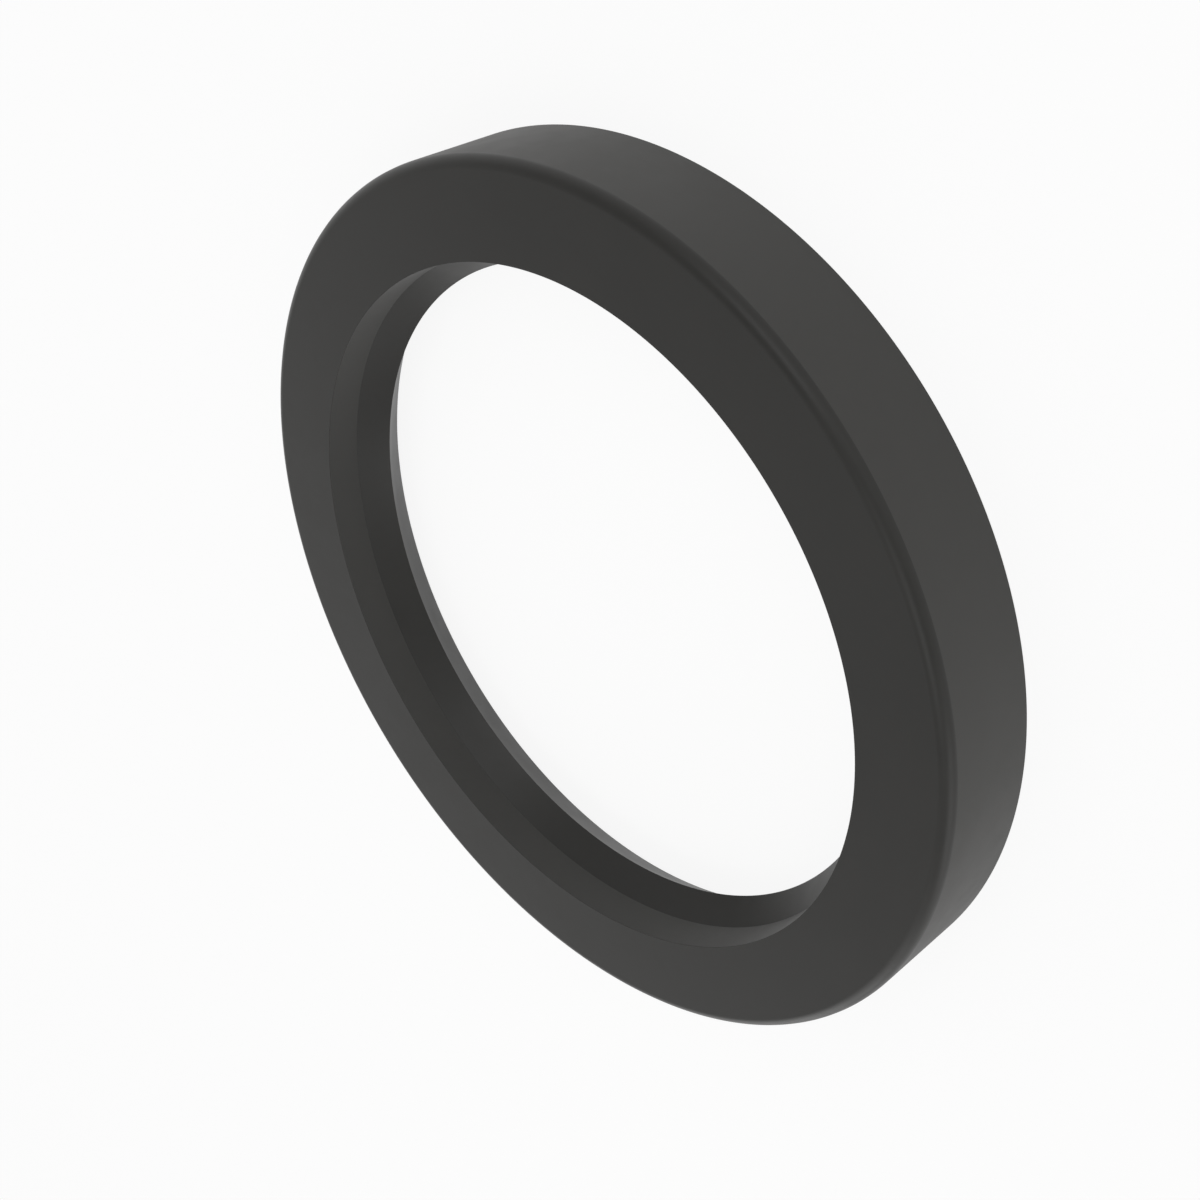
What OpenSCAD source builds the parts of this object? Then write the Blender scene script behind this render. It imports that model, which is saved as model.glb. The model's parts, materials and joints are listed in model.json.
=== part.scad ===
// Axle seal: a moulded rubber ring with one sealing lip.
// Pressed into a housing bore by its outer wall, it wipes a turning shaft with its lip.
// It lies on its back rim: the origin is the middle of that rim's plane, and +Z leaves the front face.
// The front is the flat air side. The back is the oil side, open behind the lip.

/* [Housing side] */
// Outside diameter, pressed into the housing bore
outer_d = 65; // [62:0.5:90]
// Width from the back rim to the front face
ring_w = 7.85; // [6.5:0.05:10]
// Radius of the rounded outer edge of the front face
edge_r = 0.85; // [0.2:0.05:2]
// Thickness of the outer wall beside the channel
wall_t = 2.3; // [1:0.1:3.6]
// Thickness of the front web
web_t = 2.4; // [1.2:0.1:4]

/* [Shaft side] */
// Diameter of the shaft that the seal runs on
shaft_d = 50; // [30:0.5:53]
// Gap all round between the shaft and the straight bore of the front web
bore_gap = 0.75; // [0.2:0.05:1.6]
// Length of the straight bore
bore_len = 2.7; // [1:0.1:4]
// How far the free lip reaches inside the shaft's surface
lip_bite = 0.6; // [0.1:0.05:1.2]

/* [Lip] */
// Depth of the sealing edge below the front face
lip_depth = 4.9; // [4.2:0.1:6.5]
// Angle of the lip's back flank from the axis
flare_angle = 40; // [20:1:50]
// Distance of the lip's back end from the plane of the back rim
lip_setback = 0.5; // [0.2:0.1:1.5]
// Radial width of the lip's flat back end
heel_w = 1.7; // [0.8:0.1:3]
// Thickness of the sleeve that carries the lip
sleeve_t = 1.6; // [0.8:0.1:3]
// Length of the sleeve's straight outer side, below the channel's floor
sleeve_len = 2; // [1.2:0.1:3.2]
// Radius of the two corners of the channel's floor
floor_r = 0.8; // [0.2:0.1:1.2]

/* [Hidden] */
$fn = 360;
RUBBER_BLACK = [0.07, 0.07, 0.07];
// How far one shape runs into another that it joins or cuts
OVERLAP = 0.2;

outer_r = outer_d / 2;
wall_r = outer_r - wall_t;
bore_r = shaft_d / 2 + bore_gap;
lip_r = shaft_d / 2 - lip_bite;
sleeve_r = bore_r + sleeve_t;
bore_end_z = ring_w - bore_len;
lip_z = ring_w - lip_depth;
floor_z = ring_w - web_t;
sleeve_end_z = floor_z - sleeve_len;
mouth_r = lip_r + (lip_z - lip_setback) * tan(flare_angle);
heel_r = mouth_r + heel_w;
floor_fillet = min(floor_r, sleeve_len, (wall_r - sleeve_r) / 2);

// The straight-sided outline of the section, radius by height
module section_outline() {
    polygon([
        [outer_r, 0],
        [outer_r, ring_w],
        [bore_r, ring_w],
        [bore_r, bore_end_z],
        [lip_r, lip_z],
        [mouth_r, lip_setback],
        [heel_r, lip_setback],
        [sleeve_r, sleeve_end_z],
        [sleeve_r, floor_z],
        [wall_r, floor_z],
        [wall_r, 0]
    ]);
}

// What lies between a square corner at the origin and an arc that touches both its sides,
// with some overlap behind the corner
module corner_web(r) {
    difference() {
        translate([-OVERLAP, -OVERLAP]) square(r + OVERLAP);
        translate([r, r]) circle(r);
    }
}

// The section with its front edge rounded off and the channel's floor corners filled in
module section() {
    difference() {
        section_outline();
        translate([outer_r, ring_w]) rotate(180) corner_web(edge_r);
    }
    translate([sleeve_r, floor_z]) mirror([0, 1]) corner_web(floor_fillet);
    translate([wall_r, floor_z]) rotate(180) corner_web(floor_fillet);
}

module seal_ring() {
    color(RUBBER_BLACK) rotate_extrude() section();
}

seal_ring();
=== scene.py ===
"""Looks of the axle seal: a satin black rubber ring lying on its back rim, on a pale floor."""
import json
import math

import bpy
from mathutils import Matrix, Vector


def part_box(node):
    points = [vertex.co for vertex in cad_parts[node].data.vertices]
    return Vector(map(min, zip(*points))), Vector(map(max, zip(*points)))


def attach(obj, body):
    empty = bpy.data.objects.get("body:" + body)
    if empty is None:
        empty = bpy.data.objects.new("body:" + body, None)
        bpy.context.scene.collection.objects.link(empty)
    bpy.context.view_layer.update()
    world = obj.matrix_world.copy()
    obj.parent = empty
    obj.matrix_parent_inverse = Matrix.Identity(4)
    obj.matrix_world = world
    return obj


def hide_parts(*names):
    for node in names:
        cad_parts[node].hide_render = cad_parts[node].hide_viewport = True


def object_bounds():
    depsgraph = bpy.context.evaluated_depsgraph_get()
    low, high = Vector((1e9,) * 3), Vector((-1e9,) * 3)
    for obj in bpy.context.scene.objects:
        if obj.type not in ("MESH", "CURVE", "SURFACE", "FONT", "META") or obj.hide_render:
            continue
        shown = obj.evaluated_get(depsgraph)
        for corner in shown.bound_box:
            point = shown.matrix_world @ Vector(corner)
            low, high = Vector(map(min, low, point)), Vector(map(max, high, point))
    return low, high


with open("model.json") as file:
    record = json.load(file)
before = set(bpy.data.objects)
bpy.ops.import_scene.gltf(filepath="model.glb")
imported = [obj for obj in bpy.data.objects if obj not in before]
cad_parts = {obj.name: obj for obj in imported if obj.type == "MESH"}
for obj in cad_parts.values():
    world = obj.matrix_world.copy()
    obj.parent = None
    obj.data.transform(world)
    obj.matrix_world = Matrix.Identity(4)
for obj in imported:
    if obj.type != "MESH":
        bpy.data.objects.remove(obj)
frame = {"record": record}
cad_low, cad_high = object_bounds()
MM = 0.001
NODE = "seal_ring"

# Sizes of the section that the frame doesn't state, in metres, as the CAD model has them
EDGE_R = 0.85 * MM
WALL_T = 2.3 * MM
WEB_T = 2.4 * MM
LIP_R = 24.4 * MM
LIP_DEPTH = 4.9 * MM
FLARE_ANGLE = math.radians(40)
LIP_SETBACK = 0.5 * MM
HEEL_W = 1.7 * MM
SLEEVE_T = 1.6 * MM
SLEEVE_LEN = 2.0 * MM
CHANNEL_R = 0.8 * MM

# Roundness of the moulded edges that look sharp, and how finely the ring and its arcs are divided
CRISP_R = 0.025 * MM
LIP_EDGE_R = 0.02 * MM
TURN_STEPS = 480
ARC_STEP = math.radians(11.25)

# Camera of the photograph: isometric direction, turned about its line of sight
CAMERA_DISTANCE = 0.11682
CAMERA_ELEVATION = math.radians(35.264)
CAMERA_ROLL = math.radians(-120)
CAMERA_ANGLE = math.radians(40)
CAMERA_NEAR = 0.005
AIM_OFFSET = Vector((0, -0.00026, 0))

# Rubber: two blacks that its broad mottling runs between, and the two paler ones of its turned walls, whose
# paleness is partly a turned finish and partly painted light standing in for the floor's light on the walls
RUBBER_DARK = (0.0114, 0.0108, 0.0089, 1)
RUBBER_PALE = (0.0138, 0.0130, 0.0109, 1)
TURNED_LIT_DARK = (0.0308, 0.0300, 0.0272, 1)
TURNED_LIT_PALE = (0.0350, 0.0342, 0.0312, 1)
SPECULAR_LEVEL = 0.4
ROUGH_LOW, ROUGH_HIGH = 0.39, 0.44
TURNED_DULLER = 0.11
LIP_SMOOTHER = 0.03
LIP_POLISHED_W = 0.8 * MM

# How far the normal leans off level, by its own Z, where the turned finish with its partly painted light
# starts and has ended
TURNED_LIT_FULL, TURNED_LIT_NONE = 0.02, 0.08

# Marks on the rubber, each by how many of its repeats lie in a metre, and how finely they are broken up
BLOOM_SCALE = 140.0
MOTTLE_SCALE = 700.0
GRAIN_SCALE = 6500.0
TURNING_SCALE = 3600.0
BLOOM_DETAIL = 4.0
MOTTLE_DETAIL = 3.0
FINE_DETAIL = 2.0

# How much the mottle adds to the bloom, and the sums between which one black turns into the other
MOTTLE_WEIGHT = 0.5
PATCH_LOW, PATCH_HIGH = 0.55, 0.95

# Depth of the grain and of the mould's turning marks
GRAIN_DEPTH = 0.0006 * MM
TURNING_DEPTH = 0.0012 * MM

# Colour Mix node: the numbers of its share, its two colours and its result
MIX_SHARE, MIX_A, MIX_B, MIX_RESULT = 0, 6, 7, 2

# Floor: its colour, how much of its white is seen unshaded, and its round shape, in metres
FLOOR_WHITE = (0.88, 0.88, 0.88, 1)
FLOOR_SHARE = 0.9
FLOOR_R_FLAT = 1.4
COVE_W = 0.6
COVE_H = 0.85
FLOOR_DROP = 0.02 * MM
FLOOR_STEPS = 10
FLOOR_TURNS = 64

# Each lamp by its turn from +X and its height above the floor, in degrees, and its power in watts
LAMPS = {
    "low_lamp": {"turn": 195, "height": 13, "power": 0.32},
    "back_lamp": {"turn": 135, "height": 16, "power": 0.29},
    "top_lamp": {"turn": 210, "height": 62, "power": 0.38},
    "far_lamp": {"turn": 90, "height": 62, "power": 0.16},
    "fill_lamp": {"turn": 300, "height": 40, "power": 0.40},
    "near_lamp": {"turn": 270, "height": 20, "power": 0.12},
}
LAMP_DISTANCE = 0.6
LAMP_SIZE = 0.34
WORLD_LEVEL = 0.63


def mount(name):
    """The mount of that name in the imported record."""
    return next(m for m in frame["record"]["mounts"] if m["name"] == name)


def section():
    """The ring's section as corners, each a radius, a height and the radius of its rounding."""
    low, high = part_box(NODE)
    outer_r = high.x
    ring_w = high.z
    wall_r = outer_r - WALL_T
    bore_r = mount("shaft_bore")["dims"]["r_mm"] * MM
    bore_end_z = ring_w - mount("shaft_bore")["dims"]["length_mm"] * MM
    lip_z = ring_w - LIP_DEPTH
    floor_z = ring_w - WEB_T
    sleeve_r = bore_r + SLEEVE_T
    mouth_r = LIP_R + (lip_z - LIP_SETBACK) * math.tan(FLARE_ANGLE)
    heel_r = mouth_r + HEEL_W
    return [
        (outer_r, low.z, CRISP_R),
        (outer_r, ring_w, EDGE_R),
        (bore_r, ring_w, CRISP_R),
        (bore_r, bore_end_z, CRISP_R),
        (LIP_R, lip_z, LIP_EDGE_R),
        (mouth_r, LIP_SETBACK, CRISP_R),
        (heel_r, LIP_SETBACK, CRISP_R),
        (sleeve_r, floor_z - SLEEVE_LEN, CRISP_R),
        (sleeve_r, floor_z, CHANNEL_R),
        (wall_r, floor_z, CHANNEL_R),
        (wall_r, low.z, CRISP_R),
    ]


def rounded(corners):
    """Points and outward normals of the closed outline, with each corner turned into an arc."""
    points = []
    for index, (r, z, rounding) in enumerate(corners):
        corner = Vector((r, z))
        before = (Vector(corners[index - 1][:2]) - corner).normalized()
        after = (Vector(corners[(index + 1) % len(corners)][:2]) - corner).normalized()
        half = before.angle(after) / 2
        reach = rounding / math.tan(half)
        middle = corner + (before + after).normalized() * (rounding / math.sin(half))
        start = corner + before * reach - middle
        end = corner + after * reach - middle
        sweep = math.pi - 2 * half
        steps = max(2, math.ceil(sweep / ARC_STEP))
        turning_out = before.cross(after) < 0
        for step in range(steps + 1):
            share = step / steps
            swung = start * math.sin((1 - share) * sweep) + end * math.sin(share * sweep)
            spoke = swung / math.sin(sweep)
            normal = spoke.normalized() * (1 if turning_out else -1)
            points.append((middle + spoke, normal))
    return points


def revolve(name, outline):
    """A ring mesh: the outline turned about Z, with the outline's own normals."""
    verts, normals, faces = [], [], []
    count = len(outline)
    for turn in range(TURN_STEPS):
        angle = 2 * math.pi * turn / TURN_STEPS
        cos, sin = math.cos(angle), math.sin(angle)
        for point, normal in outline:
            verts.append((point.x * cos, point.x * sin, point.y))
            normals.append((normal.x * cos, normal.x * sin, normal.y))
        first = turn * count
        second = (turn + 1) % TURN_STEPS * count
        for index in range(count):
            following = (index + 1) % count
            faces.append((first + index, second + index, second + following, first + following))
    mesh = bpy.data.meshes.new(name)
    mesh.from_pydata(verts, [], faces)
    mesh.validate()
    mesh.shade_smooth()
    mesh.normals_split_custom_set_from_vertices(normals)
    piece = bpy.data.objects.new(name, mesh)
    bpy.context.scene.collection.objects.link(piece)
    return piece


def node_maker(tree):
    """A function that adds a node to the tree and sets or links its inputs, and one for Math nodes."""
    def node(kind, settings=None, inputs=None):
        made = tree.nodes.new(kind)
        for name, value in (settings or {}).items():
            setattr(made, name, value)
        for name, value in (inputs or {}).items():
            if hasattr(value, "is_linked"):
                tree.links.new(value, made.inputs[name])
            else:
                made.inputs[name].default_value = value
        return made.outputs

    def maths(operation, *values):
        return node("ShaderNodeMath", {"operation": operation}, dict(enumerate(values)))[0]

    return node, maths


def rubber():
    """Satin black moulded rubber: broad mottling, fine grain, turning marks, turned walls that are paler
    partly as painted light, smoother lip.
    """
    material = bpy.data.materials.new("seal_rubber")
    material.use_nodes = True
    tree = material.node_tree
    shader = tree.nodes["Principled BSDF"]
    shader.inputs["Specular IOR Level"].default_value = SPECULAR_LEVEL
    node, maths = node_maker(tree)

    def ramp(value, low, high, start, end):
        spread = {"Value": value, "From Min": low, "From Max": high, "To Min": start, "To Max": end}
        return node("ShaderNodeMapRange", {"interpolation_type": "SMOOTHSTEP"}, spread)[0]

    def noise(place, scale, detail):
        return node("ShaderNodeTexNoise", inputs={"Vector": place, "Scale": scale, "Detail": detail})[0]

    def mix(share, first, second):
        inputs = {MIX_SHARE: share, MIX_A: first, MIX_B: second}
        return node("ShaderNodeMix", {"data_type": "RGBA"}, inputs)[MIX_RESULT]

    coordinates = node("ShaderNodeTexCoord")
    place = coordinates["Object"]
    split = node("ShaderNodeSeparateXYZ", inputs={0: place})
    flat = node("ShaderNodeCombineXYZ", inputs={0: split["X"], 1: split["Y"]})[0]
    radius = node("ShaderNodeVectorMath", {"operation": "LENGTH"}, {0: flat})["Value"]
    ring_place = node("ShaderNodeCombineXYZ", inputs={0: radius, 1: split["Z"]})[0]

    bloom = noise(place, BLOOM_SCALE, BLOOM_DETAIL)
    mottle = noise(place, MOTTLE_SCALE, MOTTLE_DETAIL)
    grain = noise(place, GRAIN_SCALE, FINE_DETAIL)
    turning = noise(ring_place, TURNING_SCALE, FINE_DETAIL)

    patches = maths("MULTIPLY_ADD", mottle, MOTTLE_WEIGHT, bloom)
    share = ramp(patches, PATCH_LOW, PATCH_HIGH, 0.0, 1.0)
    moulded_black = mix(share, RUBBER_DARK, RUBBER_PALE)
    # Upright walls get a paler black: partly a turned finish, partly painted light for the floor's light
    # falling on them
    turned_lit_black = mix(share, TURNED_LIT_DARK, TURNED_LIT_PALE)
    lean = maths("ABSOLUTE", node("ShaderNodeSeparateXYZ", inputs={0: coordinates["Normal"]})["Z"])
    turned_lit_wall = ramp(lean, TURNED_LIT_FULL, TURNED_LIT_NONE, 1.0, 0.0)
    tree.links.new(mix(turned_lit_wall, moulded_black, turned_lit_black), shader.inputs["Base Color"])

    moulded_rough = ramp(patches, PATCH_LOW, PATCH_HIGH, ROUGH_LOW, ROUGH_HIGH)
    lip = ramp(radius, LIP_R, LIP_R + LIP_POLISHED_W, LIP_SMOOTHER, 0.0)
    polished = maths("SUBTRACT", moulded_rough, lip)
    roughness = maths("MULTIPLY_ADD", turned_lit_wall, TURNED_DULLER, polished)
    tree.links.new(roughness, shader.inputs["Roughness"])

    lines = node("ShaderNodeBump", inputs={"Distance": TURNING_DEPTH, "Height": turning})[0]
    surface = node("ShaderNodeBump", inputs={"Distance": GRAIN_DEPTH, "Height": grain, "Normal": lines})[0]
    tree.links.new(surface, shader.inputs["Normal"])
    return material


def floor_material():
    """Pale floor: what the camera and reflections see is lifted to white, and shadows stay."""
    material = bpy.data.materials.new("white_floor")
    material.use_nodes = True
    tree = material.node_tree
    shader = tree.nodes["Principled BSDF"]
    shader.inputs["Base Color"].default_value = FLOOR_WHITE
    shader.inputs["Roughness"].default_value = 1
    shader.inputs["Specular IOR Level"].default_value = 0
    node, maths = node_maker(tree)
    rays = node("ShaderNodeLightPath")
    seen = maths("MAXIMUM", rays["Is Camera Ray"], rays["Is Glossy Ray"])
    seen = maths("MAXIMUM", seen, rays["Is Transmission Ray"])
    share = maths("MULTIPLY", seen, FLOOR_SHARE)
    white = node("ShaderNodeEmission")[0]
    blend = node("ShaderNodeMixShader", inputs={0: share, 1: shader.outputs[0], 2: white})[0]
    tree.links.new(blend, tree.nodes["Material Output"].inputs["Surface"])
    return material


def add_floor():
    """The pale floor that the ring's back rim rests on, rising far off into a round backdrop."""
    profile = []
    for step in range(FLOOR_STEPS + 1):
        angle = math.pi / 2 * step / FLOOR_STEPS
        profile.append((FLOOR_R_FLAT + COVE_W * math.sin(angle), COVE_H * (1 - math.cos(angle))))
    count = len(profile)
    verts = [(0, 0, -FLOOR_DROP)]
    faces = []
    for turn in range(FLOOR_TURNS):
        angle = 2 * math.pi * turn / FLOOR_TURNS
        for r, z in profile:
            verts.append((r * math.cos(angle), r * math.sin(angle), z - FLOOR_DROP))
        first = 1 + turn * count
        second = 1 + (turn + 1) % FLOOR_TURNS * count
        faces.append((0, first, second))
        for step in range(FLOOR_STEPS):
            faces.append((first + step, first + step + 1, second + step + 1, second + step))
    mesh = bpy.data.meshes.new("pale_floor")
    mesh.from_pydata(verts, [], faces)
    mesh.validate()
    mesh.shade_smooth()
    mesh.materials.append(floor_material())
    floor = bpy.data.objects.new("pale_floor", mesh)
    bpy.context.scene.collection.objects.link(floor)


def add_lamps(centre):
    """Soft lamps round the ring, each facing its middle."""
    for name, place in LAMPS.items():
        data = bpy.data.lights.new(name, "AREA")
        data.shape = "DISK"
        data.size = LAMP_SIZE
        data.energy = place["power"]
        lamp = bpy.data.objects.new(name, data)
        turn, height = math.radians(place["turn"]), math.radians(place["height"])
        level = math.cos(height)
        way = Vector((math.cos(turn) * level, math.sin(turn) * level, math.sin(height)))
        lamp.location = centre + way * LAMP_DISTANCE
        lamp.rotation_euler = way.to_track_quat("Z", "Y").to_euler()
        lamp.visible_camera = False
        bpy.context.scene.collection.objects.link(lamp)


def set_world():
    """Even pale light from all round."""
    world = bpy.data.worlds.new("studio")
    world.use_nodes = True
    background = world.node_tree.nodes["Background"]
    background.inputs["Color"].default_value = (1, 1, 1, 1)
    background.inputs["Strength"].default_value = WORLD_LEVEL
    bpy.context.scene.world = world


def add_camera(centre):
    """The photograph's camera, on the -Y side and looking down."""
    data = bpy.data.cameras.new("photo_camera")
    data.sensor_fit = "HORIZONTAL"
    data.angle = CAMERA_ANGLE
    data.clip_start = CAMERA_NEAR
    camera = bpy.data.objects.new("photo_camera", data)
    back = Vector((0, -math.cos(CAMERA_ELEVATION), math.sin(CAMERA_ELEVATION)))
    aim = centre + AIM_OFFSET
    place = Matrix.Translation(aim + back * CAMERA_DISTANCE)
    level = back.to_track_quat("Z", "Y").to_matrix().to_4x4()
    camera.matrix_world = place @ level @ Matrix.Rotation(CAMERA_ROLL, 4, "Z")
    bpy.context.scene.collection.objects.link(camera)
    bpy.context.scene.camera = camera


centre = (cad_low + cad_high) / 2
ring = revolve("moulded_ring", rounded(section()))
ring.data.materials.append(rubber())
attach(ring, "root")
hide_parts(NODE)
add_floor()
add_lamps(centre)
set_world()
add_camera(centre)
bpy.context.scene.view_settings.view_transform = "Standard"
